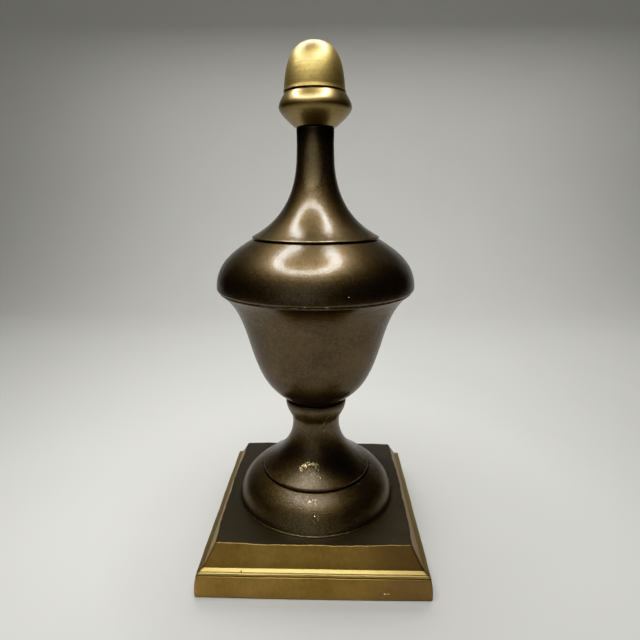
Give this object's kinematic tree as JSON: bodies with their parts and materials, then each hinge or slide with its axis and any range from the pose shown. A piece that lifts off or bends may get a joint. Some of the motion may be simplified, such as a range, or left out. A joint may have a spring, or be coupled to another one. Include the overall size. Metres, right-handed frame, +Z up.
{
  "type": "finial",
  "caption": "Turned and cast brass finial: a dark bronze lidded urn form with an acorn top, on a round pedestal and a square moulded brass base.",
  "frame": {"origin": "centre of the square base's underside, on the surface that the finial stands on", "axes": "+Z up along the turned axis; the base's sides lie along X and Y; the front faces -Y"},
  "size_m": [0.1016, 0.1016, 0.2245],
  "materials": {
    "base_brass": "satin aged brass, with a dark bronze patina on the flat top plate",
    "dark_bronze": "satin dark bronze patina over brass, with small worn spots",
    "knob_brass": "satin turned brass"
  },
  "bodies": {
    "root": {"square_base": "base_brass", "pedestal": "dark_bronze", "bowl": "dark_bronze", "lid": "dark_bronze", "acorn_cup": "knob_brass", "acorn": "knob_brass"}
  },
  "joints": []
}
